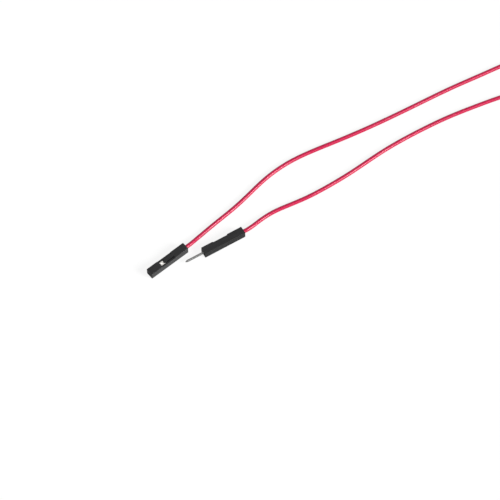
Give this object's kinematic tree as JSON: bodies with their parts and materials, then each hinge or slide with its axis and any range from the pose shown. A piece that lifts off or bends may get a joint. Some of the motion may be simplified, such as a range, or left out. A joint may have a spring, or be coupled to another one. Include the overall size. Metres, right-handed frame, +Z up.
{
  "type": "breadboard jumper wire",
  "caption": "Flexible jumper wire with a socket housing at one end and a pin housing at the other, for 2.54 mm pitch headers and breadboards.",
  "frame": {"origin": "middle of the underside of the box round the two connectors, on the table", "axes": "+Z up from the table; +X along the longer side of the box round the two connectors, towards the end where the wire leaves them; +Y away from the viewer"},
  "size_m": [0.133, 0.0836, 0.0025],
  "materials": {
    "housing": "black moulded nylon, fine matt",
    "terminal": "folded phosphor bronze sheet, bright tin plate",
    "jacket": "extruded red PVC, soft gloss",
    "strand": "tinned copper strand"
  },
  "bodies": {
    "root": {"female_housing": "housing", "male_housing": "housing", "female_terminal": "terminal", "male_terminal": "terminal", "wire_jacket": "jacket", "female_strand_1": "strand", "female_strand_2": "strand", "female_strand_3": "strand", "female_strand_4": "strand", "female_strand_5": "strand", "female_strand_6": "strand", "female_strand_7": "strand", "male_strand_1": "strand", "male_strand_2": "strand", "male_strand_3": "strand", "male_strand_4": "strand", "male_strand_5": "strand", "male_strand_6": "strand", "male_strand_7": "strand"}
  },
  "joints": []
}
